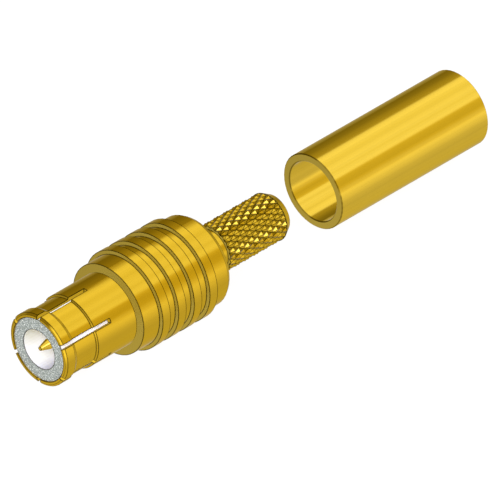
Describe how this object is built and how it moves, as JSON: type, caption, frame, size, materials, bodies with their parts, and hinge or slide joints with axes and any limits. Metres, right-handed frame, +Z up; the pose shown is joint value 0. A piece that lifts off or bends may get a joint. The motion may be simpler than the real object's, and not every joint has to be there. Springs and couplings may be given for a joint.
{
  "type": "mcx connector",
  "caption": "Straight push-fit coaxial plug with a slotted contact sleeve, ribbed body and knurled crimp stem, its crimp ferrule drawn off",
  "frame": {"origin": "on the connector's axis, in the plane of the body's front shoulder, where the contact sleeve comes out", "axes": "+X along the connector's axis from the plug end to the cable end, +Z up through the sleeve's top slot"},
  "size_m": [0.027, 0.005, 0.005],
  "materials": {
    "gold_contact": "gold plated, polished",
    "gold_body": "gold plated, turned",
    "insulator": "matte fluoropolymer",
    "gold_pin": "gold plated, polished",
    "gold_ferrule": "gold plated, drawn tube"
  },
  "bodies": {
    "connector": {"outer_contact": "gold_contact", "body": "gold_body", "insulator": "insulator", "centre_contact": "gold_pin"},
    "ferrule": {"crimp_ferrule": "gold_ferrule"}
  },
  "joints": [
    {"name": "ferrule_slide", "type": "slide", "parent": "connector", "child": "ferrule", "axis": [-1, 0, 0], "range_m": [0, 0.00745]}
  ]
}
